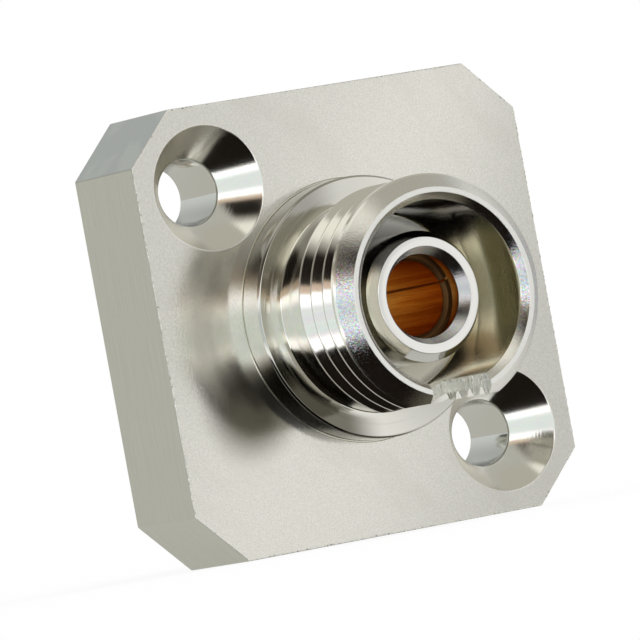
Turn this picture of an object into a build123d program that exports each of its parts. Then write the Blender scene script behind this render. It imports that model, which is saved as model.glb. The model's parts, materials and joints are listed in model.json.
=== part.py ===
from build123d import *
import os

# Fibre-optic adapter with a square panel flange and a threaded barrel on each side.
# Sizes are in millimetres. The barrel axis runs along Y, the front barrel points to -Y,
# +Z is up, and the origin lies on the axis in the middle of the flange's thickness.

# Square flange
flange_side = 15.3
flange_thickness = 3.9
flange_corner_cut = 1.75

# Two countersunk fixing holes on one diagonal of the flange
fixing_hole_offset = 4.85
fixing_hole_radius = 1.13
countersink_radius = 2.1
countersink_depth = 1.43

# Boss and neck between the flange and the thread, measured from the flange face
boss_radius = 4.45
boss_height = 1.05
boss_edge_chamfer = 0.12
neck_radius = 3.57
neck_length = 1.42
thread_run_in = 0.18

# Threaded barrel, M8 x 0.75 at its crests
thread_radius = 3.95
barrel_reach = 5.68
lead_in_length = 0.44
rim_outer_radius = 3.5

# Bore of the barrel, which the plug's shell enters
barrel_bore_radius = 3.1
bore_mouth_chamfer = 0.24
bore_floor_height = 1.8

# Key slot through the underside of the barrel, with its mouth milled flat
key_slot_width = 2.32
key_slot_root_height = 2.72
slot_flat_drop = 3.57

# Holder halves, whose collars are trapped between the two bodies
holder_radius = 2.2
holder_reach = 4.65
holder_nose_length = 0.4
holder_face_outer_radius = 1.95
holder_face_inner_radius = 1.64
holder_lip_radius = 1.41
holder_lip_sink_depth = 0.41
holder_lip_length = 0.54
collar_radius = 2.95
collar_thickness = 0.8

# Split sleeve that lines up two ferrules
sleeve_bore_radius = 1.25
sleeve_wall = 0.35
sleeve_end_chamfer = 0.12
sleeve_slit_width = 0.14
sleeve_slit_angle = 72.5

# Clearances
spigot_clearance = 0.01
holder_clearance = 0.02
collar_clearance = 0.02
sleeve_float = 0.05
sleeve_end_play = 0.05
cutter_overrun = 1.0

# Places along the axis, as distances from the middle of the flange
face_plane = flange_thickness / 2
boss_plane = face_plane + boss_height
neck_plane = boss_plane + neck_length
rim_plane = face_plane + barrel_reach
bore_floor_plane = face_plane + bore_floor_height
slot_root_plane = face_plane + key_slot_root_height
nose_plane = face_plane + holder_reach
lip_sink_plane = nose_plane - holder_lip_sink_depth
chamber_plane = lip_sink_plane - holder_lip_length

# Radii that follow from their mates
sleeve_outer_radius = sleeve_bore_radius + sleeve_wall
chamber_radius = sleeve_outer_radius + sleeve_float
sleeve_end_plane = chamber_plane - sleeve_end_play


def turned(points):
    """Solid of revolution about Y from (radius, distance toward the front) points."""
    outline = [(radius, -distance) for radius, distance in points]
    face = make_face(Polyline(*outline, close=True))
    return revolve(face, axis=Axis.Y, revolution_arc=360)


def fixing_hole_cutter(x, z):
    """Through hole with a steep countersink that opens on the front face."""
    hole = turned([
        (0, -face_plane - cutter_overrun),
        (fixing_hole_radius, -face_plane - cutter_overrun),
        (fixing_hole_radius, face_plane - countersink_depth),
        (countersink_radius, face_plane),
        (countersink_radius, face_plane + cutter_overrun),
        (0, face_plane + cutter_overrun),
    ])
    return Pos(x, 0, z) * hole


def flange_plate():
    """Square plate with cut corners and the two fixing holes."""
    square = Rectangle(flange_side, flange_side)
    outline = chamfer(square.vertices(), flange_corner_cut)
    plate = extrude(Plane.XZ * outline, flange_thickness / 2, both=True)
    plate -= fixing_hole_cutter(-fixing_hole_offset, fixing_hole_offset)
    plate -= fixing_hole_cutter(fixing_hole_offset, -fixing_hole_offset)
    return plate


def barrel_outside():
    """Boss, neck, thread at its crests and lead-in cone, from the middle to the rim."""
    return turned([
        (0, 0),
        (boss_radius, 0),
        (boss_radius, boss_plane - boss_edge_chamfer),
        (boss_radius - boss_edge_chamfer, boss_plane),
        (neck_radius, boss_plane),
        (neck_radius, neck_plane),
        (thread_radius, neck_plane + thread_run_in),
        (thread_radius, rim_plane - lead_in_length),
        (rim_outer_radius, rim_plane),
        (0, rim_plane),
    ])


def barrel_inside():
    """Collar pocket, holder bore, plug bore and its chamfered mouth, as one cutter."""
    pocket_radius = collar_radius + collar_clearance
    holder_bore_radius = holder_radius + holder_clearance
    mouth_radius = barrel_bore_radius + bore_mouth_chamfer
    return turned([
        (0, 0),
        (pocket_radius, 0),
        (pocket_radius, collar_thickness),
        (holder_bore_radius, collar_thickness),
        (holder_bore_radius, bore_floor_plane),
        (barrel_bore_radius, bore_floor_plane),
        (barrel_bore_radius, rim_plane - bore_mouth_chamfer),
        (mouth_radius, rim_plane),
        (mouth_radius, rim_plane + cutter_overrun),
        (0, rim_plane + cutter_overrun),
    ])


def key_slot_cutter():
    """Slot through the lower wall of the barrel, open at the rim."""
    slot_length = rim_plane + cutter_overrun - slot_root_plane
    slot_depth = thread_radius + cutter_overrun
    slot = Box(key_slot_width, slot_length, slot_depth)
    return Pos(0, -slot_root_plane - slot_length / 2, -slot_depth / 2) * slot


def slot_flat_cutter():
    """Flat across the mouth of the slot, level with the neck."""
    flat_length = rim_plane + cutter_overrun - boss_plane
    flat_depth = thread_radius + cutter_overrun - slot_flat_drop
    flat = Box(2 * thread_radius, flat_length, flat_depth)
    return Pos(0, -boss_plane - flat_length / 2, -slot_flat_drop - flat_depth / 2) * flat


def connector_end():
    """One threaded end on its own, from the middle of the flange to the front rim."""
    end = barrel_outside() - slot_flat_cutter()
    return end - key_slot_cutter()


def front_body():
    """Flange with the front barrel, bored for the holder and recessed for the rear body."""
    recess_radius = boss_radius + spigot_clearance
    recess = turned([
        (0, 0),
        (recess_radius, 0),
        (recess_radius, -face_plane - cutter_overrun),
        (0, -face_plane - cutter_overrun),
    ])
    return flange_plate() + connector_end() - barrel_inside() - recess


def rear_body():
    """Rear barrel, whose boss runs on as a spigot into the flange."""
    return mirror(connector_end() - barrel_inside(), about=Plane.XZ)


def sleeve_holder():
    """Front holder half: collar, tube, chamfered nose and the lip that keeps the sleeve in."""
    return turned([
        (chamber_radius, 0),
        (collar_radius, 0),
        (collar_radius, collar_thickness),
        (holder_radius, collar_thickness),
        (holder_radius, nose_plane - holder_nose_length),
        (holder_face_outer_radius, nose_plane),
        (holder_face_inner_radius, nose_plane),
        (holder_lip_radius, lip_sink_plane),
        (holder_lip_radius, chamber_plane),
        (chamber_radius, chamber_plane),
    ])


def split_sleeve():
    """Thin tube, slit along its whole length, chamfered inside at both ends."""
    mouth_radius = sleeve_bore_radius + sleeve_end_chamfer
    chamfer_plane = sleeve_end_plane - sleeve_end_chamfer
    tube = turned([
        (sleeve_bore_radius, -chamfer_plane),
        (mouth_radius, -sleeve_end_plane),
        (sleeve_outer_radius, -sleeve_end_plane),
        (sleeve_outer_radius, sleeve_end_plane),
        (mouth_radius, sleeve_end_plane),
        (sleeve_bore_radius, chamfer_plane),
    ])
    slit_length = 2 * sleeve_end_plane + cutter_overrun
    slit = Box(sleeve_slit_width, slit_length, 2 * sleeve_outer_radius)
    return tube - Rot(0, sleeve_slit_angle, 0) * Pos(0, 0, sleeve_outer_radius) * slit


os.makedirs("parts", exist_ok=True)
front_holder = sleeve_holder()
export_step(front_body(), "parts/front_body.step")
export_step(rear_body(), "parts/rear_body.step")
export_step(front_holder, "parts/front_sleeve_holder.step")
export_step(mirror(front_holder, about=Plane.XZ), "parts/rear_sleeve_holder.step")
export_step(split_sleeve(), "parts/split_sleeve.step")
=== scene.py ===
import json
import math
import random
from contextlib import contextmanager
from itertools import product
from types import SimpleNamespace

import bmesh
import bpy
from mathutils import Matrix, Vector

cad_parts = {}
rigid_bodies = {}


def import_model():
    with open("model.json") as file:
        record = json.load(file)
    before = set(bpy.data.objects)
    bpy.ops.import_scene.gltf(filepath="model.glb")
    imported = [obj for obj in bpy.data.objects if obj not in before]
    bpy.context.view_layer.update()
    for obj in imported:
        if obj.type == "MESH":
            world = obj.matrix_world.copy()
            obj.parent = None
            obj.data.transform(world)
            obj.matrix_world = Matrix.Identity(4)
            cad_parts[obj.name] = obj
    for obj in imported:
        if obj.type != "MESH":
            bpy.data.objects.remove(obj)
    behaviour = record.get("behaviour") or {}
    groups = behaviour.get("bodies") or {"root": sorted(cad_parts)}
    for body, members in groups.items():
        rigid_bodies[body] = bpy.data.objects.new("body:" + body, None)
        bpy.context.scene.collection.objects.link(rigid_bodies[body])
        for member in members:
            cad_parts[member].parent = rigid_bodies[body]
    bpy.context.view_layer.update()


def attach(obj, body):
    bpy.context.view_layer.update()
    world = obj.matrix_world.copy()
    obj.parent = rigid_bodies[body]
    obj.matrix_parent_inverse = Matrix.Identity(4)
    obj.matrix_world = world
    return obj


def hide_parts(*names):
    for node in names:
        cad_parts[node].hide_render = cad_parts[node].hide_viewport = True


for thing in list(bpy.data.objects):
    bpy.data.objects.remove(thing)
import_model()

# Sizes in millimetres, in the frame of the CAD: the barrel axis is Y, the front is -Y
MM = 0.001
FLANGE_HALF = 7.65
FLANGE_THICKNESS = 3.9
CORNER_CUT = 1.75
HOLE_OFFSET = 4.85
HOLE_RADIUS = 1.13
SINK_RADIUS = 2.1
SINK_DEPTH = 1.43
SINK_SLOPE = (SINK_RADIUS - HOLE_RADIUS) / math.hypot(SINK_RADIUS - HOLE_RADIUS, SINK_DEPTH)
SINK_FLARE = 0.7
BOSS_RADIUS = 4.45
BOSS_CHAMFER = 0.07
RECESS_RADIUS = 4.46
NECK_RADIUS = 3.57
THREAD_RADIUS = 3.95
THREAD_ROOT = 3.51
THREAD_PITCH = 0.75
RIM_RADIUS = 3.5
BORE_RADIUS = 3.1
MOUTH_CHAMFER = 0.24
SLOT_WIDTH = 2.32
SLOT_FLAT = 3.57
HOLDER_RADIUS = 2.2
HOLDER_BORE = 2.22
HOLDER_FACE_RADIUS = 1.95
NOSE_LENGTH = 0.4
COLLAR_RADIUS = 2.95
COLLAR_POCKET = 2.97
COLLAR_THICKNESS = 0.8
LIP_RADIUS = 1.41
CHAMBER_RADIUS = 1.65
SLEEVE_BORE = 1.25
SLEEVE_OUTER = 1.6
SLEEVE_CHAMFER = 0.12
SLIT_WIDTH = 0.09
SLIT_ANGLE = 72.5

# Places along the axis, as distances from the middle of the flange
FACE = FLANGE_THICKNESS / 2
BOSS = 3.0
NECK_END = 4.42
THREAD_START = 4.6
LEAD_IN = 7.19
RIM = 7.63
BORE_FLOOR = 3.75
SLOT_ROOT = 4.67
FLAT_ROOT = NECK_END + 0.013
NOSE = 6.6
LIP_SINK = 6.19
LIP_MOUTH = 1.64
LIP_SLOPE = (LIP_MOUTH - LIP_RADIUS) / math.hypot(LIP_MOUTH - LIP_RADIUS, NOSE - LIP_SINK)
CHAMBER_END = 5.65
SLEEVE_END = 5.6
REAR_GAP = 0.002

# Thread form: crest, root, corner rounding and the length in which the last groove runs out.
# One crest passes the stated place at the stated angle in degrees from +Z toward +X.
CREST_FLAT = 0.07
ROOT_FLAT = 0.09
THREAD_CORNER = 0.035
THREAD_CORNER_STEPS = 2
THREAD_TURNS = 7
CREST_PLACE = FACE + 3.593
CREST_ANGLE = 295
TURNS_BEFORE_CREST = 3
LAST_GROOVE = FACE + 5.1
RUN_OUT = 0.07
ROD_SPARE = 0.06
NUT_START = NECK_END - 0.03

# Edges of the flange: bevel, groove at the boss's foot, and burrs
BEVEL_WIDTH = 0.045
BEVEL_ANGLE = 25
GROOVE_DEPTH = 0.04
BURR_SEED = 4
BURR_SIZES = (0.014, 0.034)
BURR_HEIGHTS = (0.6, 1.3)
BURR_LENGTHS = (1.2, 3.0)
BURR_INSET = 0.006
BURR_MARGIN = 0.2
BURR_SPACING = 0.12
BURR_RATE = 4.0

# Mesh fineness and tolerances
SEGMENTS = 240
TUBE_SEGMENTS = 180
HOLE_SEGMENTS = 120
WELD = 0.0008
ON_AXIS = 1e-6
SMOOTH_ANGLE = 32
LARGEST_ROUNDING = 0.45
SLOPE_TOLERANCE = 0.05

# Material slots that every metal mesh carries in this order, so that cuts keep their finish
MILLED, TURNED, HOLDER, BRONZE = range(4)
finishes = []


# Mesh helpers

@contextmanager
def opened(mesh):
    """The mesh as an editable one, which is written back at the end."""
    bm = bmesh.new()
    bm.from_mesh(mesh)
    yield bm
    bm.to_mesh(mesh)
    bm.free()


def make_object(name, vertices, faces, finish=TURNED):
    mesh = bpy.data.meshes.new(name)
    mesh.from_pydata(vertices, [], faces)
    mesh.validate()
    with opened(mesh) as bm:
        bmesh.ops.recalc_face_normals(bm, faces=bm.faces)
    for material in finishes:
        mesh.materials.append(material)
    mesh.polygons.foreach_set("material_index", [finish] * len(mesh.polygons))
    piece = bpy.data.objects.new(name, mesh)
    bpy.context.scene.collection.objects.link(piece)
    return piece


def softened(points, closed=True, steps=3):
    """Rounds a profile's corners. A point is (radius, distance) or (radius, distance, rounding)."""
    rounded = []
    count = len(points)
    for i, point in enumerate(points):
        here = Vector(point[:2])
        size = point[2] if len(point) > 2 else 0.0
        if size <= 0 or (not closed and i in (0, count - 1)):
            rounded.append(tuple(here))
            continue
        before = Vector(points[i - 1][:2]) - here
        after = Vector(points[(i + 1) % count][:2]) - here
        reach = min(size, before.length * LARGEST_ROUNDING, after.length * LARGEST_ROUNDING)
        start = here + before.normalized() * reach
        end = here + after.normalized() * reach
        for k in range(steps + 1):
            t = k / steps
            rounded.append(tuple(start.lerp(here, t).lerp(here.lerp(end, t), t)))
    return rounded


def turned(name, points, finish=TURNED, segments=SEGMENTS):
    """Closed solid of revolution about Y from (radius, distance to the front) points."""
    vertices, rings = [], []
    for radius, distance in points:
        if radius < ON_AXIS:
            rings.append([len(vertices)] * segments)
            vertices.append((0, -distance, 0))
            continue
        rings.append(list(range(len(vertices), len(vertices) + segments)))
        for i in range(segments):
            a = 2 * math.pi * i / segments
            vertices.append((radius * math.sin(a), -distance, radius * math.cos(a)))
    faces = []
    for k, ring in enumerate(rings):
        following = rings[(k + 1) % len(rings)]
        for i in range(segments):
            j = (i + 1) % segments
            corners = []
            for c in (ring[i], ring[j], following[j], following[i]):
                if c not in corners:
                    corners.append(c)
            if len(corners) > 2:
                faces.append(corners)
    return make_object(name, vertices, faces, finish)


def box(name, low, high, finish=TURNED):
    corners = list(product(*zip(low, high)))
    faces = [(0, 1, 3, 2), (4, 6, 7, 5), (0, 4, 5, 1), (2, 3, 7, 6), (0, 2, 6, 4), (1, 5, 7, 3)]
    return make_object(name, corners, faces, finish)


def settle(piece):
    """Turns what the modifiers give into the piece's own mesh."""
    graph = bpy.context.evaluated_depsgraph_get()
    mesh = bpy.data.meshes.new_from_object(piece.evaluated_get(graph))
    piece.modifiers.clear()
    piece.data = mesh


def combine(piece, other, operation):
    """Joins the other object to the piece or cuts it away, and uses it up."""
    modifier = piece.modifiers.new("combine", "BOOLEAN")
    modifier.operation = operation
    modifier.solver = "EXACT"
    modifier.object = other
    settle(piece)
    bpy.data.objects.remove(other)
    with opened(piece.data) as bm:
        bmesh.ops.remove_doubles(bm, verts=bm.verts, dist=WELD)
        bmesh.ops.dissolve_degenerate(bm, edges=bm.edges, dist=WELD)


def drop_folds(piece):
    """Splits the barrel's faces into triangles and removes the pairs that lie back to back."""
    with opened(piece.data) as bm:
        barrel = [face for face in bm.faces if face.calc_center_median().y < -NECK_END]
        bmesh.ops.triangulate(bm, faces=barrel)
        bm.verts.index_update()
        corners = {}
        for face in bm.faces:
            corners.setdefault(frozenset(vertex.index for vertex in face.verts), []).append(face)
        folded = [face for group in corners.values() if len(group) > 1 for face in group]
        bmesh.ops.delete(bm, geom=folded, context="FACES")


def smooth(piece):
    mesh = piece.data
    mesh.polygons.foreach_set("use_smooth", [True] * len(mesh.polygons))
    mesh.set_sharp_from_angle(angle=math.radians(SMOOTH_ANGLE))
    modifier = piece.modifiers.new("normals", "WEIGHTED_NORMAL")
    modifier.keep_sharp = True
    settle(piece)


def polish(piece, centre, radii, slope, leans, front=1):
    """Leans the shading of a countersink's wall toward the mouth, as polishing rounds it to a dish."""
    mesh = piece.data
    normals = [corner.vector.copy() for corner in mesh.corner_normals]
    axis = Vector((centre[0], 0, centre[1])) * MM
    flat = Vector((1, 0, 1))
    inner, outer = radii
    for polygon in mesh.polygons:
        reach = ((polygon.center - axis) * flat).length / MM
        if not inner < reach < outer or abs(polygon.normal.y * front + slope) > SLOPE_TOLERANCE:
            continue
        for k in polygon.loop_indices:
            arm = (mesh.vertices[mesh.loops[k].vertex_index].co - axis) * flat
            outward = (arm.length / MM - inner) / (outer - inner)
            lean = math.radians(leans[0] + (leans[1] - leans[0]) * outward)
            normals[k] = -arm.normalized() * math.cos(lean) - Vector((0, math.sin(lean) * front, 0))
    mesh.normals_split_custom_set(normals)


def half_turned(piece, name):
    """Copy turned half a turn about Z, which keeps the thread right-handed."""
    copy = piece.copy()
    copy.data = piece.data.copy()
    copy.name = name
    copy.data.transform(Matrix.Rotation(math.pi, 4, "Z"))
    bpy.context.scene.collection.objects.link(copy)
    return copy


# Threaded ends

def threaded_rod():
    """Rod with the right-hand thread, longer than the barrel at both ends."""
    flank = (THREAD_PITCH - CREST_FLAT - ROOT_FLAT) / 2
    one_turn = [
        (THREAD_RADIUS, 0.0),
        (THREAD_RADIUS, CREST_FLAT),
        (THREAD_ROOT, CREST_FLAT + flank),
        (THREAD_ROOT, CREST_FLAT + flank + ROOT_FLAT),
    ]
    outline = [
        (r, u + THREAD_PITCH * k, THREAD_CORNER)
        for k in range(-1, THREAD_TURNS + 2) for r, u in one_turn
    ]
    profile = softened(outline, closed=False, steps=THREAD_CORNER_STEPS)
    per_turn = len(one_turn) * (THREAD_CORNER_STEPS + 1)
    first = per_turn - THREAD_CORNER_STEPS
    profile = profile[first:first + per_turn * THREAD_TURNS + 1]
    start = CREST_PLACE - CREST_FLAT / 2 - TURNS_BEFORE_CREST * THREAD_PITCH
    vertices, columns = [], []
    for i in range(SEGMENTS):
        a = 2 * math.pi * i / SEGMENTS
        lead = THREAD_PITCH * (math.degrees(a) - CREST_ANGLE) / 360
        column = []
        for k, (r, u) in enumerate(profile):
            middle = start - lead + THREAD_PITCH * (k // per_turn + 0.5) + CREST_FLAT / 2
            fade = min(max((middle - LAST_GROOVE) / RUN_OUT, 0.0), 1.0)
            r += (THREAD_RADIUS + 2 * ROD_SPARE - r) * fade * fade * (3 - 2 * fade)
            column.append(len(vertices))
            vertices.append((r * math.sin(a), -(start - lead + u), r * math.cos(a)))
        columns.append(column)
    last = len(profile) - 1
    faces = []
    for i in range(SEGMENTS - 1):
        here, there = columns[i], columns[i + 1]
        faces += [(here[k], here[k + 1], there[k + 1], there[k]) for k in range(last)]
    # The last column meets the first one a whole turn further on
    here, there = columns[-1], columns[0]
    faces += [
        (here[k], here[k + 1], there[k + 1 - per_turn], there[k - per_turn])
        for k in range(per_turn, last)
    ]
    low_loop = [column[0] for column in columns] + here[1:per_turn + 1]
    high_loop = there[last - per_turn:last] + [column[last] for column in columns]
    for loop in (low_loop, high_loop):
        centre = len(vertices)
        vertices.append((0, sum(vertices[c][1] for c in loop) / len(loop), 0))
        faces += [(loop[k], loop[(k + 1) % len(loop)], centre) for k in range(len(loop))]
    return make_object("rod", vertices, faces)


def connector_end(name):
    """Boss, neck, thread, lead-in, bore, key slot and flat of one end, from the flange's middle out."""
    end = turned(name, softened([
        (HOLDER_BORE, COLLAR_THICKNESS),
        (COLLAR_POCKET, COLLAR_THICKNESS),
        (COLLAR_POCKET, REAR_GAP),
        (BOSS_RADIUS, REAR_GAP),
        (BOSS_RADIUS, BOSS - BOSS_CHAMFER, 0.03),
        (BOSS_RADIUS - BOSS_CHAMFER, BOSS, 0.03),
        (NECK_RADIUS, BOSS, 0.06),
        (NECK_RADIUS, NECK_END, 0.06),
        (THREAD_RADIUS + ROD_SPARE, THREAD_START + ROD_SPARE * 0.47),
        (THREAD_RADIUS + ROD_SPARE, LEAD_IN - ROD_SPARE * 0.98),
        (RIM_RADIUS, RIM, 0.02),
        (BORE_RADIUS + MOUTH_CHAMFER, RIM, 0.02),
        (BORE_RADIUS, RIM - MOUTH_CHAMFER, 0.02),
        (BORE_RADIUS, BORE_FLOOR, 0.1),
        (HOLDER_BORE, BORE_FLOOR),
    ]))
    # The cutters reach well past the barrel on their open sides
    flat = box("flat", (-5, -RIM - 1, -6), (5, -FLAT_ROOT, -SLOT_FLAT))
    combine(end, flat, "DIFFERENCE")
    slot = box("slot", (-SLOT_WIDTH / 2, -RIM - 2, -7), (SLOT_WIDTH / 2, -SLOT_ROOT, 0.1))
    combine(end, slot, "DIFFERENCE")
    nut = turned("nut", [
        (0, NUT_START), (THREAD_RADIUS + 1, NUT_START), (THREAD_RADIUS + 1, RIM + 1), (0, RIM + 1),
    ])
    combine(nut, threaded_rod(), "DIFFERENCE")
    combine(end, nut, "DIFFERENCE")
    return end


# Flange

def flange_outline():
    """The eight corners (x, z) of the square with its cut corners, clockwise from the top right."""
    h, c = FLANGE_HALF, CORNER_CUT
    return [
        (h - c, h), (h, h - c), (h, c - h), (h - c, -h),
        (c - h, -h), (-h, c - h), (-h, h - c), (c - h, h),
    ]


def plate():
    """Flange with its countersunk holes, recess, bevelled edges and the opening for the front end."""
    vertices = [(x, y, z) for y in (-FACE, FACE) for x, z in flange_outline()]
    faces = [tuple(range(8)), tuple(range(15, 7, -1))]
    faces += [(i, (i + 1) % 8, (i + 1) % 8 + 8, i + 8) for i in range(8)]
    piece = make_object("front_body_visual", vertices, faces, MILLED)
    for sign in (-1, 1):
        hole = turned("hole", softened([
            (0, -FACE - 1),
            (HOLE_RADIUS, -FACE - 1),
            (HOLE_RADIUS, FACE - SINK_DEPTH, 0.05),
            (SINK_RADIUS, FACE),
            (SINK_RADIUS + SINK_FLARE, FACE + 1),
            (0, FACE + 1),
        ]), segments=HOLE_SEGMENTS)
        hole.data.transform(Matrix.Translation(Vector((sign, 0, -sign)) * HOLE_OFFSET))
        combine(piece, hole, "DIFFERENCE")
    recess = turned("recess", [(0, 0), (RECESS_RADIUS, 0), (RECESS_RADIUS, -FACE - 1), (0, -FACE - 1)])
    combine(piece, recess, "DIFFERENCE")
    bevel = piece.modifiers.new("bevel", "BEVEL")
    bevel.width = BEVEL_WIDTH
    bevel.segments = 2
    bevel.limit_method = "ANGLE"
    bevel.angle_limit = math.radians(BEVEL_ANGLE)
    settle(piece)
    opening = BOSS_RADIUS - 0.2
    middle = turned("middle", [(0, -1), (opening, -1), (opening, FACE + 1), (0, FACE + 1)])
    combine(piece, middle, "DIFFERENCE")
    groove = turned("groove", [
        (BOSS_RADIUS - 0.1, FACE - GROOVE_DEPTH),
        (BOSS_RADIUS + 0.02, FACE - GROOVE_DEPTH),
        (BOSS_RADIUS + 0.05, FACE + 0.001),
        (BOSS_RADIUS + 0.05, FACE + 0.1),
        (BOSS_RADIUS - 0.1, FACE + 0.1),
    ], MILLED)
    combine(piece, groove, "DIFFERENCE")
    return piece


def add_burrs(piece):
    """Small raised burrs along the flange's front edges, each a closed lump sunk in the edge."""
    dice = random.Random(BURR_SEED)
    outline = [Vector(corner) for corner in flange_outline()]
    with opened(piece.data) as bm:
        for k, start in enumerate(outline):
            side = outline[(k + 1) % len(outline)] - start
            run = side.normalized()
            inward = Vector((run.y, -run.x))
            turn = Matrix.Rotation(math.atan2(run.x, run.y), 4, "Y")
            place = BURR_MARGIN
            while place < side.length - BURR_MARGIN:
                size = dice.uniform(*BURR_SIZES)
                spot = start + run * place + inward * (size + BURR_INSET)
                height = size * dice.uniform(*BURR_HEIGHTS)
                length = size * dice.uniform(*BURR_LENGTHS)
                shape = Matrix.Diagonal((size, height, length, 1))
                place_there = Matrix.Translation((spot.x, -FACE, spot.y)) @ turn @ shape
                bmesh.ops.create_icosphere(bm, subdivisions=1, radius=1.0, matrix=place_there)
                place += BURR_SPACING + dice.expovariate(BURR_RATE)


# Holders and sleeve

def holder(name):
    return turned(name, softened([
        (CHAMBER_RADIUS, 0),
        (COLLAR_RADIUS, 0),
        (COLLAR_RADIUS, COLLAR_THICKNESS, 0.05),
        (HOLDER_RADIUS, COLLAR_THICKNESS),
        (HOLDER_RADIUS, NOSE - NOSE_LENGTH, 0.03),
        (HOLDER_FACE_RADIUS, NOSE, 0.02),
        (LIP_MOUTH, NOSE, 0.02),
        (LIP_RADIUS, LIP_SINK, 0.02),
        (LIP_RADIUS, CHAMBER_END, 0.03),
        (CHAMBER_RADIUS, CHAMBER_END),
    ]), HOLDER, TUBE_SEGMENTS)


def sleeve(name):
    mouth = SLEEVE_BORE + SLEEVE_CHAMFER
    tube = turned(name, softened([
        (SLEEVE_BORE, SLEEVE_CHAMFER - SLEEVE_END, 0.03),
        (mouth, -SLEEVE_END, 0.03),
        (SLEEVE_OUTER, -SLEEVE_END, 0.05),
        (SLEEVE_OUTER, SLEEVE_END, 0.05),
        (mouth, SLEEVE_END, 0.03),
        (SLEEVE_BORE, SLEEVE_END - SLEEVE_CHAMFER, 0.03),
    ]), BRONZE, TUBE_SEGMENTS)
    slit = box("slit", (-SLIT_WIDTH / 2, -6, 0.5), (SLIT_WIDTH / 2, 6, 2.5), BRONZE)
    slit.data.transform(Matrix.Rotation(math.radians(SLIT_ANGLE), 4, "Y"))
    combine(tube, slit, "DIFFERENCE")
    return tube


# Colours of the metals, of films and wear on them, and of painted shade and painted reflections
NICKEL = (0.77, 0.755, 0.695)
HOLDER_NICKEL = (0.84, 0.83, 0.80)
MOTTLING = (0.93, 1.05)
SMEAR_TONE = (0.66, 0.64, 0.58)
SIDE_TONES = ((0.69, 0.69, 0.61), (0.735, 0.73, 0.655))
FACET_REFLECTION_TONES = ((0.69, 0.74, 0.75), (0.78, 0.83, 0.83))
RIDGE_SHADE_TONE = (0.35, 0.36, 0.33)
DARK_REFLECTION_TONE = (0.15, 0.14, 0.11)
LIP_SHADE_TONE = (0.48, 0.47, 0.46)
LIP_WALL_REFLECTION_TONE = (0.30, 0.24, 0.17)
RIM_TONE = (0.88, 0.87, 0.83)
BRINK_SHADE_TONE = (0.3, 0.29, 0.26)
SINK_SHADE_TONE = (0.42, 0.39, 0.33)
HOLE_REFLECTION_TONES = ((0.64, 0.665, 0.65), (0.96, 1.0, 0.99))
CHAMBER_SHADE_TONE = (0.36, 0.21, 0.09)
BRONZE_METAL = (0.78, 0.50, 0.22)
STREAK_TONES = ((0.68, 0.36, 0.10), (0.98, 0.72, 0.32))
BRONZE_UPPER_SHADE = (0.42, 0.20, 0.06)
SLEEVE_END_TONE = (0.13, 0.065, 0.025)

# Shares of the metal's own colour that a film lets through, and that painted shade lets through in the upper
# bore and on the bore's floor
BORE_FILM = (0.93, 0.91, 0.83)
CONE_FILM = (0.96, 0.95, 0.95)
UPPER_BORE_SHADE = (0.14, 0.14, 0.14)
BORE_FLOOR_SHADE = (0.3, 0.3, 0.3)

# Painted dark reflection on the flange beside the boss, in place of the barrel's mirrored underside: x, z,
# radius and strength
FLANGE_DARK_REFLECTION_SPOTS = [(-4.8, -2.6, 2.2, 0.95), (-4.9, 2.3, 1.8, 0.38)]

# Bump heights in metres
FINE_BUMP = 0.00002
DRAWN_BUMP = 0.00003
BURR_BUMP = 0.00004
RIB_BUMP = 0.00012

# Sums |x| + |z| at the flat corner cuts, and the middle range of a noise
CORNER_SPAN = 2 * FLANGE_HALF - CORNER_CUT
MID_NOISE = (0.3, 0.7)


# Materials

class Nodes:
    """Short way to add and link nodes. A value that is a socket is linked, any other is set."""

    def __init__(self, tree):
        self.tree = tree

    def add(self, kind, settings=(), **inputs):
        node = self.tree.nodes.new(kind)
        for key, value in dict(settings).items():
            setattr(node, key, value)
        for key, value in inputs.items():
            numbered = key[0] == "i" and key[1:].isdigit()
            socket = node.inputs[int(key[1:]) if numbered else key]
            if isinstance(value, bpy.types.NodeSocket):
                self.link(value, socket)
            else:
                socket.default_value = value
        return node

    def link(self, value, socket):
        self.tree.links.new(value, socket)

    def math(self, operation, a, b=0.0):
        return self.add("ShaderNodeMath", {"operation": operation}, i0=a, i1=b).outputs[0]

    def times(self, value, *others):
        for other in others:
            value = self.math("MULTIPLY", value, other)
        return value

    def size(self, value):
        return self.math("ABSOLUTE", value)

    def length(self, a, b):
        return self.math("SQRT", self.math("ADD", self.times(a, a), self.times(b, b)))

    def ramp(self, value, low, high, to_low=0.0, to_high=1.0):
        """Smooth step from one level to another."""
        smooth_step = {"interpolation_type": "SMOOTHSTEP"}
        node = self.add("ShaderNodeMapRange", smooth_step, i0=value, i1=low, i2=high, i3=to_low, i4=to_high)
        return node.outputs[0]

    def fall(self, value, low, high, level=1.0):
        return self.ramp(value, low, high, level, 0.0)

    def mix(self, share, a, b):
        """Colour a turned toward colour b. A colour is a socket or red, green and blue."""
        a, b = [c if isinstance(c, bpy.types.NodeSocket) else (*c, 1) for c in (a, b)]
        return self.add("ShaderNodeMix", {"data_type": "RGBA"}, i0=share, i6=a, i7=b).outputs[2]

    def noise(self, vector, scale, detail=2.0, roughness=0.5, output=0):
        node = self.add("ShaderNodeTexNoise", Vector=vector, Scale=scale, Detail=detail, Roughness=roughness)
        return node.outputs[output]

    def vector(self, x, y=0.0, z=0.0):
        return self.add("ShaderNodeCombineXYZ", i0=x, i1=y, i2=z).outputs[0]

    def split(self, vector):
        return self.add("ShaderNodeSeparateXYZ", i0=vector).outputs

    def vector_math(self, operation, output="Vector", **inputs):
        return self.add("ShaderNodeVectorMath", {"operation": operation}, **inputs).outputs[output]

    def bump(self, height, strength, distance, normal=None):
        below = {} if normal is None else {"Normal": normal}
        node = self.add("ShaderNodeBump", Strength=strength, Distance=distance, Height=height, **below)
        return node.outputs[0]


def filmed(colour, film):
    return tuple(c * share for c, share in zip(colour, film))


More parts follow.
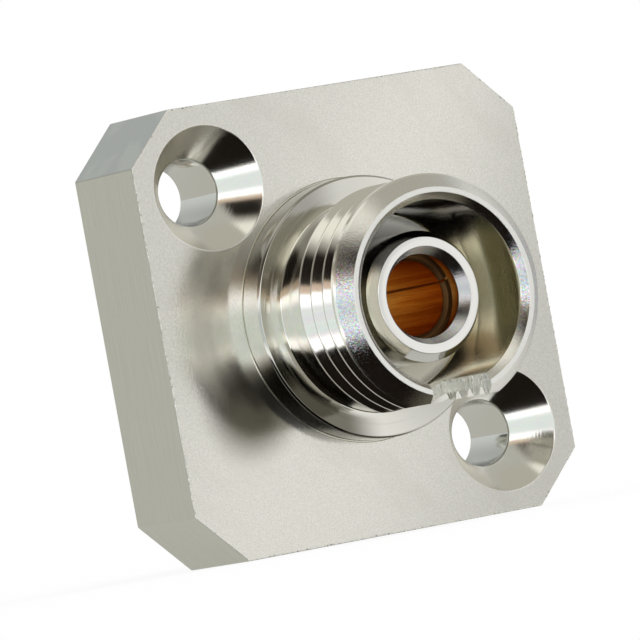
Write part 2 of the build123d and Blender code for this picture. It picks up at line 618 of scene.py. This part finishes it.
def millimetres(nodes):
    """The surface point in millimetres, whole and as x, y, z."""
    coordinates = nodes.add("ShaderNodeTexCoord")
    point = nodes.vector_math("SCALE", i0=coordinates.outputs["Object"], Scale=1 / MM)
    x, y, z = nodes.split(point)
    return point, x, y, z


def metal(name, colour, roughness, anisotropic=0.0):
    material = bpy.data.materials.new(name)
    material.use_nodes = True
    nodes = Nodes(material.node_tree)
    shader = material.node_tree.nodes["Principled BSDF"]
    shader.inputs["Base Color"].default_value = (*colour, 1)
    shader.inputs["Metallic"].default_value = 1
    shader.inputs["Roughness"].default_value = roughness
    shader.inputs["Anisotropic"].default_value = anisotropic
    return material, nodes, shader


def milled_nickel():
    """Satin flange: mottled, with painted dark reflection beside the boss, brushed sides, painted bluish
    reflection on the upper facets and painted shade along their ridges.
    """
    material, nodes, shader = metal("nickel_milled", NICKEL, 0.2)
    shader.inputs["Metallic"].default_value = 0.9
    point, x, y, z = millimetres(nodes)
    depth = nodes.size(y)
    side = nodes.fall(depth, FACE - 0.04, FACE - 0.02)
    upper = nodes.ramp(z, -1.0, 1.0)
    span = nodes.math("ADD", nodes.size(x), nodes.size(z))

    # Front and rear: fine mottling and a long faint smear
    dark, light = [filmed(NICKEL, [share] * 3) for share in MOTTLING]
    fine = nodes.ramp(nodes.noise(point, 26.0, 1.0), *MID_NOISE)
    tone = nodes.mix(fine, dark, light)
    wiped = nodes.vector(nodes.math("ADD", x, z), nodes.times(nodes.math("SUBTRACT", x, z), 0.35), y)
    smear = nodes.ramp(nodes.noise(wiped, 0.45, 3.0, 0.6), 0.5, 0.68, 0.0, 0.3)
    tone = nodes.mix(smear, tone, SMEAR_TONE)

    # Sides: brushed along their length, with painted bluish reflection clouded at the upper corner cuts and
    # painted shade along their upper ridges
    along = nodes.times(nodes.math("SUBTRACT", z, x), 0.35)
    brushed = nodes.noise(nodes.vector(nodes.times(y, 12.0), along), 1.0, 4.0, 0.7)
    tone = nodes.mix(side, tone, nodes.mix(nodes.ramp(brushed, *MID_NOISE), *SIDE_TONES))
    # Painted reflection: bluish cloud on the upper corner-cut facets only
    facet = nodes.times(side, nodes.ramp(span, CORNER_SPAN - 0.03, CORNER_SPAN - 0.01), upper)
    cloud = nodes.ramp(nodes.noise(point, 0.55), 0.42, 0.58)
    tone = nodes.mix(facet, tone, nodes.mix(cloud, *FACET_REFLECTION_TONES))
    # Painted shade: a dark line along the upper ridges
    off_ridge = nodes.size(nodes.math("SUBTRACT", span, CORNER_SPAN - 0.02))
    ridge = nodes.times(nodes.fall(off_ridge, 0.01, 0.05, 0.45), side, upper)
    tone = nodes.mix(ridge, tone, RIDGE_SHADE_TONE)

    # Painted dark reflection: darker spots beside the boss, where the flange would mirror the barrel's dark
    # underside
    for spot_x, spot_z, size, share in FLANGE_DARK_REFLECTION_SPOTS:
        here = nodes.vector(x, 0.0, z)
        apart = nodes.vector_math("DISTANCE", "Value", i0=here, i1=(spot_x, 0, spot_z))
        spot = nodes.times(nodes.fall(apart, 0.3 * size, size, share), nodes.fall(side, 0.0, 1.0))
        tone = nodes.mix(spot, tone, DARK_REFLECTION_TONE)
    nodes.link(tone, shader.inputs["Base Color"])

    grain = nodes.noise(point, 14.0, 3.0, 0.6)
    streaks = nodes.vector(nodes.times(x, 9.0), nodes.times(y, 9.0), nodes.times(z, 0.6))
    streaks = nodes.noise(streaks, 1.0, 3.0, 0.6)
    height = nodes.math("ADD", nodes.times(grain, 0.8), nodes.times(streaks, 0.2))
    outer = nodes.math("MAXIMUM", nodes.size(x), nodes.size(z))
    edge = nodes.times(nodes.ramp(outer, FLANGE_HALF - 0.06, FLANGE_HALF - 0.03),
                       nodes.ramp(depth, FACE - 0.06, FACE - 0.03))
    bump = nodes.bump(height, 0.08, FINE_BUMP)
    bump = nodes.bump(nodes.noise(point, 12.0, 2.0, 0.6), edge, BURR_BUMP, bump)
    nodes.link(bump, shader.inputs["Normal"])
    nodes.link(nodes.ramp(grain, *MID_NOISE, 0.12, 0.17), shader.inputs["Roughness"])
    return material


def turned_places(nodes, x, y, z):
    """Shares from 0 to 1 that pick out the places of the turned pieces and of the fixing holes."""
    at = SimpleNamespace()
    radius = at.radius = nodes.length(x, z)
    depth = at.depth = nodes.size(y)

    at.crest = nodes.times(
        nodes.ramp(radius, THREAD_RADIUS - 0.03, THREAD_RADIUS - 0.008),
        nodes.fall(radius, THREAD_RADIUS + 0.05, THREAD_RADIUS + 0.07),
        nodes.fall(depth, LEAD_IN - 0.02, LEAD_IN),
    )
    at.rim = nodes.ramp(depth, RIM - 0.02, RIM - 0.008)
    at.lip = nodes.times(
        nodes.fall(radius, LIP_MOUTH + 0.005, LIP_MOUTH + 0.02),
        nodes.ramp(depth, LIP_SINK - 0.01, LIP_SINK + 0.01),
    )
    at.lip_wall = nodes.times(
        nodes.fall(radius, LIP_RADIUS + 0.01, LIP_RADIUS + 0.015, 0.6),
        nodes.ramp(depth, CHAMBER_END, CHAMBER_END + 0.01),
    )
    at.chamber = nodes.times(
        nodes.fall(radius, CHAMBER_RADIUS + 0.01, CHAMBER_RADIUS + 0.02),
        nodes.fall(depth, CHAMBER_END - 0.04, CHAMBER_END - 0.01),
    )
    outside_bore = nodes.ramp(radius, BORE_RADIUS + 0.015, BORE_RADIUS + 0.03)
    lead_in = nodes.times(nodes.ramp(depth, LEAD_IN - 0.01, LEAD_IN + 0.01), outside_bore)
    at.cones = nodes.times(
        nodes.math("MAXIMUM", lead_in, at.lip),
        nodes.ramp(depth, RIM - 0.02, RIM - 0.008, 1.0, 0.3),
    )
    at.bore = nodes.times(
        nodes.ramp(radius, BORE_RADIUS - 0.02, BORE_RADIUS - 0.005),
        nodes.fall(radius, BORE_RADIUS + 0.015, BORE_RADIUS + 0.03),
        nodes.ramp(depth, BORE_FLOOR, BORE_FLOOR + 0.1),
    )
    at.bore_floor = nodes.times(
        nodes.ramp(depth, BORE_FLOOR - 0.01, BORE_FLOOR - 0.005),
        nodes.fall(depth, BORE_FLOOR + 0.02, BORE_FLOOR + 0.1),
        nodes.fall(radius, BORE_RADIUS + 0.02, BORE_RADIUS + 0.03),
    )
    across = nodes.size(x)
    at.flank = nodes.times(
        nodes.ramp(across, SLOT_WIDTH / 2 - 0.012, SLOT_WIDTH / 2 - 0.004),
        nodes.fall(across, SLOT_WIDTH / 2 + 0.004, SLOT_WIDTH / 2 + 0.012),
        nodes.fall(z, -2.9, -2.8),
        nodes.ramp(depth, SLOT_ROOT - 0.1, SLOT_ROOT),
    )
    at.boss = nodes.times(
        nodes.ramp(depth, FACE, FACE + 0.05),
        nodes.fall(depth, BOSS + 0.01, BOSS + 0.02),
        nodes.ramp(radius, NECK_RADIUS + 0.05, NECK_RADIUS + 0.3),
    )
    at.brink = nodes.times(
        at.boss,
        nodes.ramp(radius, BOSS_RADIUS - 0.08, BOSS_RADIUS - 0.06),
        nodes.ramp(depth, BOSS - 0.09, BOSS - 0.07),
    )

    # The fixing hole on this side, at +x and -z or at -x and +z
    hole_side = nodes.times(nodes.math("SIGN", x), HOLE_OFFSET)
    hole_x = nodes.math("SUBTRACT", x, hole_side)
    at.hole_z = nodes.math("ADD", z, hole_side)
    at.reach = nodes.length(hole_x, at.hole_z)
    at.sink = nodes.fall(at.reach, SINK_RADIUS + 0.02, SINK_RADIUS + 0.04)
    at.hole = nodes.fall(at.reach, HOLE_RADIUS + 0.01, HOLE_RADIUS + 0.02)
    # Upper side of each countersink: rougher, and given painted shade in the colour
    slant = nodes.math("SUBTRACT", at.hole_z, nodes.times(hole_x, 0.6))
    at.dull = nodes.times(nodes.ramp(slant, 0.8, 1.7), at.sink, nodes.fall(at.hole, 0.0, 1.0))
    return at


def turned_tone(nodes, at, colour, point, x, z):
    """Colour of a turned piece, from the bare metal to its films, specks and wear, with painted shade and
    painted reflections in the bore, cones, sinks, hole, chamber and beside the boss.
    """
    tone = nodes.mix(at.bore, colour, filmed(colour, BORE_FILM))
    tone = nodes.mix(at.cones, tone, filmed(colour, CONE_FILM))
    tint = nodes.noise(point, 18.0, 1.0, output=1)
    tint = nodes.vector_math("MULTIPLY_ADD", i0=tint, i1=(1.1, 1.1, 1.1), i2=(-0.02, -0.01, 0.02))
    tint = nodes.vector_math("MINIMUM", i0=tint, i1=(1, 1, 1))
    speckled = nodes.times(at.cones, nodes.ramp(nodes.size(z), 1.0, 2.2, 0.75, 0.15))
    tone = nodes.mix(speckled, tone, tint)
    # Painted shade on the right side of the holder's lip cone
    tone = nodes.mix(nodes.times(at.lip, nodes.ramp(x, 0.7, 1.3, 0.0, 0.75)), tone, LIP_SHADE_TONE)
    # Painted shade: the top of the bore near black
    upper_bore = nodes.times(at.bore, nodes.ramp(z, 1.5, 2.3))
    tone = nodes.mix(upper_bore, tone, filmed(colour, UPPER_BORE_SHADE))
    tone = nodes.mix(at.rim, tone, RIM_TONE)
    # Painted reflection and shade: the lip's inner wall dark brown, as it mirrors the sleeve
    tone = nodes.mix(at.lip_wall, tone, LIP_WALL_REFLECTION_TONE)
    # Painted dark reflection on the boss's left face, above and below, where it would mirror the barrel
    boss_left = nodes.times(at.boss, nodes.fall(x, -1.9, -0.3))
    dim = nodes.math("ADD", nodes.fall(z, -1.6, -0.9, 0.95), nodes.ramp(z, 0.9, 1.8, 0.0, 0.5))
    tone = nodes.mix(nodes.times(boss_left, dim), tone, DARK_REFLECTION_TONE)
    # Painted shade: the boss's edge chamfer darkened in place of its dark reflection
    tone = nodes.mix(nodes.times(at.brink, 0.6), tone, BRINK_SHADE_TONE)
    # Painted shade on the left of the bore's floor, deep in the recess
    floor_left = nodes.times(at.bore_floor, nodes.ramp(x, -1.2, 0.6, 0.85, 0.2))
    tone = nodes.mix(floor_left, tone, filmed(colour, BORE_FLOOR_SHADE))
    # Painted shade on the upper side of each countersink
    tone = nodes.mix(nodes.times(at.dull, 0.5), tone, SINK_SHADE_TONE)
    # Painted reflection: the lower part of the hole's wall bluish, brightest at its upper boundary
    lower_hole = nodes.times(at.hole, nodes.fall(at.hole_z, -0.17, -0.13))
    bluish = nodes.mix(nodes.ramp(at.hole_z, -0.8, -0.15), *HOLE_REFLECTION_TONES)
    tone = nodes.mix(lower_hole, tone, bluish)
    # Painted shade and painted reflection of the sleeve: the holder's chamber wall dark brown
    return nodes.mix(at.chamber, tone, CHAMBER_SHADE_TONE)


def turned_bump(nodes, at, point, x, y, z, rings):
    """Lathe rings, streaks along the bore, ribs on the slot's flanks, specks, and rings in the sinks."""
    grain = nodes.noise(point, 20.0)
    height = nodes.math("ADD", nodes.times(rings, 0.85), nodes.times(grain, 0.15))
    bump = nodes.bump(height, 0.06, FINE_BUMP)
    angle = nodes.times(nodes.math("ARCTAN2", x, z), 36.0)
    streaks = nodes.noise(nodes.vector(angle, nodes.times(y, 0.8)), 1.0, 3.0, 0.6)
    bump = nodes.bump(streaks, nodes.times(at.bore, 0.15), FINE_BUMP, bump)
    ribs = nodes.noise(nodes.vector(nodes.times(y, 9.0), nodes.times(z, 0.9)), 1.0, 3.0, 0.7)
    bump = nodes.bump(ribs, at.flank, RIB_BUMP, bump)
    specks = nodes.noise(point, 26.0, 1.0)
    speck_strength = nodes.math("MAXIMUM", nodes.times(at.cones, 0.3), nodes.times(at.rim, 0.45))
    bump = nodes.bump(specks, speck_strength, FINE_BUMP, bump)
    sink_rings = nodes.noise(nodes.vector(nodes.times(at.reach, 16.0)), 1.0, 3.0, 0.7)
    return nodes.bump(sink_rings, nodes.times(at.sink, 0.12), FINE_BUMP, bump)


def turned_metal(name, colour, roughness):
    """Metal with fine rings round Y, as a lathe tool leaves them, and rougher crests and rims."""
    material, nodes, shader = metal(name, colour, roughness, anisotropic=0.2)
    point, x, y, z = millimetres(nodes)
    at = turned_places(nodes, x, y, z)
    rings = nodes.noise(nodes.vector(at.radius, y), 16.0, 4.0, 0.7)
    nodes.link(turned_tone(nodes, at, colour, point, x, z), shader.inputs["Base Color"])
    nodes.link(turned_bump(nodes, at, point, x, y, z, rings), shader.inputs["Normal"])
    even = nodes.ramp(rings, *MID_NOISE, roughness * 0.8, roughness * 1.25)
    worn = nodes.math("MAXIMUM", nodes.times(at.crest, 0.1), nodes.times(at.rim, 0.3))
    worn = nodes.math("MAXIMUM", worn, nodes.times(at.cones, 0.025))
    matt = nodes.math("ADD", nodes.times(at.sink, 0.03), nodes.times(at.dull, 0.2))
    worn = nodes.math("MAXIMUM", worn, matt)
    nodes.link(nodes.math("ADD", even, worn), shader.inputs["Roughness"])
    tangent = nodes.add("ShaderNodeTangent", {"direction_type": "RADIAL", "axis": "Y"})
    nodes.link(tangent.outputs[0], shader.inputs["Tangent"])
    return material


def drawn_bronze():
    """Copper alloy with darker and lighter streaks along the tube, painted shade on its upper part, and dark
    chamfered ends.
    """
    material, nodes, shader = metal("bronze_drawn", BRONZE_METAL, 0.22)
    point, x, y, z = millimetres(nodes)
    angle = nodes.math("ARCTAN2", x, z)
    streaks = nodes.noise(nodes.vector(nodes.times(angle, 3.0), nodes.times(y, 0.06)), 1.6, 4.0, 0.7)
    fine = nodes.noise(nodes.vector(nodes.times(angle, 14.0), nodes.times(y, 0.5)), 1.6, 3.0, 0.6)
    tone = nodes.mix(nodes.ramp(streaks, 0.38, 0.62), *STREAK_TONES)
    # Painted shade: the upper part of the sleeve darker
    tone = nodes.mix(nodes.ramp(z, 0.35, 1.15, 0.0, 0.75), tone, BRONZE_UPPER_SHADE)
    ends = nodes.ramp(nodes.size(y), SLEEVE_END - 0.14, SLEEVE_END - 0.11)
    nodes.link(nodes.mix(ends, tone, SLEEVE_END_TONE), shader.inputs["Base Color"])
    nodes.link(nodes.ramp(ends, 0.0, 1.0, 0.2, 0.5), shader.inputs["Roughness"])
    nodes.link(nodes.bump(fine, 0.3, DRAWN_BUMP), shader.inputs["Normal"])
    return material


finishes += [
    milled_nickel(),
    turned_metal("nickel_turned", NICKEL, 0.08),
    turned_metal("nickel_holder", HOLDER_NICKEL, 0.13),
    drawn_bronze(),
]

# Pieces
front_body = plate()
end = connector_end("end")
rear_body = half_turned(end, "rear_body_visual")
combine(front_body, end, "UNION")
drop_folds(front_body)
add_burrs(front_body)
front_holder = holder("front_sleeve_holder_visual")
rear_holder = half_turned(front_holder, "rear_sleeve_holder_visual")
split_sleeve = sleeve("split_sleeve_visual")

# Lean of the shading in degrees, at the inner and at the outer edge of a cone
SINK_LEANS = (65, 48)
LIP_LEANS = (52, 47)

for piece, node, slot in (
    (front_body, "front_body", "body_nickel"),
    (rear_body, "rear_body", "body_nickel"),
    (front_holder, "front_sleeve_holder", "holder_nickel"),
    (rear_holder, "rear_sleeve_holder", "holder_nickel"),
    (split_sleeve, "split_sleeve", "sleeve_bronze"),
):
    piece.data.transform(Matrix.Scale(MM, 4))
    smooth(piece)
    if piece == front_body:
        for sign in (-1, 1):
            centre = (sign * HOLE_OFFSET, -sign * HOLE_OFFSET)
            polish(piece, centre, (HOLE_RADIUS, SINK_RADIUS), SINK_SLOPE, SINK_LEANS)
    if piece in (front_holder, rear_holder):
        front = 1 if piece == front_holder else -1
        polish(piece, (0, 0), (LIP_RADIUS, LIP_MOUTH), LIP_SLOPE, LIP_LEANS, front)
    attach(piece, "root")
    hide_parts(node)


# Camera, in millimetres and degrees
CAMERA_PLACE = (-153.625, -251.355, -3.618)
CAMERA_TARGET = (-0.2227, 0.1373, -0.1047)
CAMERA_ROLL = 10.35


def look(position, target, roll):
    forward = (Vector(target) - Vector(position)).normalized()
    level = forward.cross(Vector((0, 0, 1))).normalized()
    up = level.cross(forward) * math.cos(roll) + level * math.sin(roll)
    right = forward.cross(up)
    turn = Matrix((right, up, -forward)).transposed().to_4x4()
    return Matrix.Translation(Vector(position) * MM) @ turn


camera_data = bpy.data.cameras.new("camera")
camera_data.sensor_width = 36
camera_data.lens = 489.42
camera_data.clip_start = 0.02
camera_data.clip_end = 20
camera = bpy.data.objects.new("camera", camera_data)
camera.matrix_world = look(CAMERA_PLACE, CAMERA_TARGET, math.radians(CAMERA_ROLL))
bpy.context.scene.collection.objects.link(camera)
bpy.context.scene.camera = camera


# Light tent: azimuth from the front (-Y) toward +X, elevation, softness of the edge in degrees, colour
TENT_TONE = (0.54, 0.54, 0.51)
PANELS = [
    (-200, 200, 50, 95, 7, (0.527, 0.513, 0.456)),
    (-125, -12, 52, 84, 5, (1.018, 1.009, 0.930)),
    (-125, -18, 8, 47, 6, (0.236, 0.216, 0.184)),
    (-51, -20, 8, 44, 4, (0.015, 0.012, 0.010)),
    (8, 110, -48, 38, 6, (0.891, 0.892, 0.886)),
    (5, 110, -95, -52, 5, (0.136, 0.126, 0.097)),
    (-75, 14, -95, -19.5, 1.2, (0.011, 0.0085, 0.0065)),
]
# Bright window on the left and in front: lowest and highest elevation, softness, colour
WINDOW = (-104, 12)
WINDOW_SOFTNESS = 1.5
WINDOW_BANDS = [
    (-19.5, 23.5, 1.5, (0.745, 0.594, 0.465)),
    (-19.5, 18.0, 0.8, (1.727, 1.756, 1.799)),
    (-11.5, 10.5, 3.0, (0.927, 1.009, 1.027)),
]
DIFFUSE_TONE = (0.8, 0.8, 0.8)
WHITE = (1, 1, 1)


def studio_world():
    """White background, and a light tent of pale panels with dark gaps that the metal mirrors."""
    world = bpy.data.worlds.new("studio")
    bpy.context.scene.world = world
    world.use_nodes = True
    nodes = Nodes(world.node_tree)
    background = world.node_tree.nodes["Background"]
    direction = nodes.add("ShaderNodeTexCoord").outputs["Generated"]
    x, y, z = nodes.split(direction)
    azimuth = nodes.times(nodes.math("ARCTAN2", x, nodes.times(y, -1.0)), 180 / math.pi)
    elevation = nodes.times(nodes.math("ARCSINE", z), 180 / math.pi)

    def band(value, low, high, soft):
        return nodes.times(nodes.ramp(value, low - soft, low + soft),
                           nodes.fall(value, high - soft, high + soft))

    tent = TENT_TONE
    for a0, a1, e0, e1, soft, colour in PANELS:
        mask = nodes.times(band(azimuth, a0, a1, soft), band(elevation, e0, e1, soft))
        tent = nodes.mix(mask, tent, colour)
    across = band(azimuth, *WINDOW, WINDOW_SOFTNESS)
    grain = nodes.noise(direction, 75.0, 1.0, output=1)
    grain = nodes.vector_math("MULTIPLY_ADD", i0=grain, i1=(1.8, 1.8, 1.8), i2=(0.1, 0.1, 0.1))
    for e0, e1, soft, colour in WINDOW_BANDS:
        mask = nodes.times(across, band(elevation, e0, e1, soft))
        tent = nodes.mix(mask, tent, nodes.vector_math("MULTIPLY", i0=grain, i1=colour))
    rays = nodes.add("ShaderNodeLightPath").outputs
    mirrored = nodes.math("MAXIMUM", rays["Is Glossy Ray"], rays["Is Transmission Ray"])
    seen = nodes.mix(rays["Is Camera Ray"], tent, WHITE)
    shown = nodes.math("MAXIMUM", mirrored, rays["Is Camera Ray"])
    nodes.link(nodes.mix(shown, DIFFUSE_TONE, seen), background.inputs["Color"])
    background.inputs["Strength"].default_value = 1.0
    world.cycles.sampling_method = "NONE"
    bpy.context.scene.cycles.glossy_bounces = 12


studio_world()

# Card in front of the object: azimuth in degrees, distance and half side in millimetres
CARD_AZIMUTH = 31.4
CARD_DISTANCE = 35
CARD_HALF = 20
CARD_FADE = (13.0, 20.0)
CARD_TONE = (0.92, 0.92, 0.91, 1)


def reflector():
    """Bright card in front of the object, a little darker toward both sides, seen in the metal alone."""
    a = math.radians(CARD_AZIMUTH)
    ahead = Vector((math.sin(a), -math.cos(a), 0))
    aside = Vector((math.cos(a), math.sin(a), 0))
    upward = Vector((0, 0, 1))
    corners = [
        (ahead * CARD_DISTANCE + (aside * u + upward * v) * CARD_HALF) * MM
        for u, v in ((-1, -1), (1, -1), (1, 1), (-1, 1))
    ]
    card = make_object("card", corners, [(0, 1, 2, 3)])
    card.data.materials.clear()
    material = bpy.data.materials.new("card_white")
    material.use_nodes = True
    nodes = Nodes(material.node_tree)
    point = nodes.add("ShaderNodeTexCoord").outputs["Object"]

    def along(direction):
        return nodes.vector_math("DOT_PRODUCT", "Value", i0=point, i1=direction / MM)

    lower = along(aside - upward * 0.35)
    upper = along(aside - upward)
    level = nodes.times(
        nodes.ramp(lower, -9.0, -3.0, 0.90, 1.03),
        nodes.ramp(lower, 0.5, 6.5, 1.0, 0.70),
        nodes.ramp(upper, -9.0, -5.5, 0.90, 1.0),
    )
    glow = nodes.add("ShaderNodeEmission", Color=CARD_TONE, Strength=level).outputs[0]
    clear = nodes.add("ShaderNodeBsdfTransparent").outputs[0]
    away = nodes.math("MAXIMUM", nodes.size(along(aside)), nodes.size(along(upward)))
    faded = nodes.add("ShaderNodeMixShader", i0=nodes.ramp(away, *CARD_FADE), i1=glow, i2=clear)
    nodes.link(faded.outputs[0], material.node_tree.nodes["Material Output"].inputs["Surface"])
    card.data.materials.append(material)
    card.visible_camera = False
    card.visible_diffuse = False
    card.visible_shadow = False
    card.visible_transmission = False


reflector()

# Floor: half side in millimetres, and distances in metres over which it turns white
FLOOR_HALF = 900
FLOOR_FADE = (0.012, 0.06)
FLOOR_TONE = (0.9, 0.9, 0.9, 1)


def floor_material():
    """Pale floor. Seen directly it fades into the white background and keeps the object's shadow."""
    material = bpy.data.materials.new("floor_pale")
    material.use_nodes = True
    tree = material.node_tree
    nodes = Nodes(tree)
    shader = tree.nodes["Principled BSDF"]
    shader.inputs["Base Color"].default_value = FLOOR_TONE
    shader.inputs["Roughness"].default_value = 0.9
    rays = nodes.add("ShaderNodeLightPath").outputs
    white = nodes.add("ShaderNodeEmission", Color=(*WHITE, 1), Strength=1.0)
    point = nodes.add("ShaderNodeTexCoord").outputs["Object"]
    away = nodes.vector_math("LENGTH", "Value", i0=point)
    fade = nodes.times(rays["Is Camera Ray"], nodes.ramp(away, *FLOOR_FADE, 0.9, 1.0))
    seen = nodes.add("ShaderNodeMixShader", i0=fade, i1=shader.outputs[0], i2=white.outputs[0])
    nodes.link(seen.outputs[0], tree.nodes["Material Output"].inputs["Surface"])
    return material


floor = make_object("floor", [
    (x * FLOOR_HALF, y * FLOOR_HALF, -FLANGE_HALF) for x, y in ((-1, -1), (1, -1), (1, 1), (-1, 1))
], [(0, 1, 2, 3)])
floor.data.transform(Matrix.Scale(MM, 4))
floor.data.materials.clear()
floor.data.materials.append(floor_material())
floor.visible_glossy = False


def lamp(name, azimuth, elevation, distance, size, power):
    """Square area lamp that faces the origin. Angles in degrees, lengths in millimetres."""
    a, e = math.radians(azimuth), math.radians(elevation)
    place = Vector((math.sin(a) * math.cos(e), -math.cos(a) * math.cos(e), math.sin(e))) * distance * MM
    data = bpy.data.lights.new(name, "AREA")
    data.size = size * MM
    data.energy = power
    light = bpy.data.objects.new(name, data)
    light.location = place
    light.rotation_euler = place.to_track_quat("Z", "Y").to_euler()
    light.visible_glossy = False
    bpy.context.scene.collection.objects.link(light)


lamp("top_softbox", azimuth=30, elevation=60, distance=300, size=200, power=0.4)
bpy.context.scene.view_settings.view_transform = "Standard"
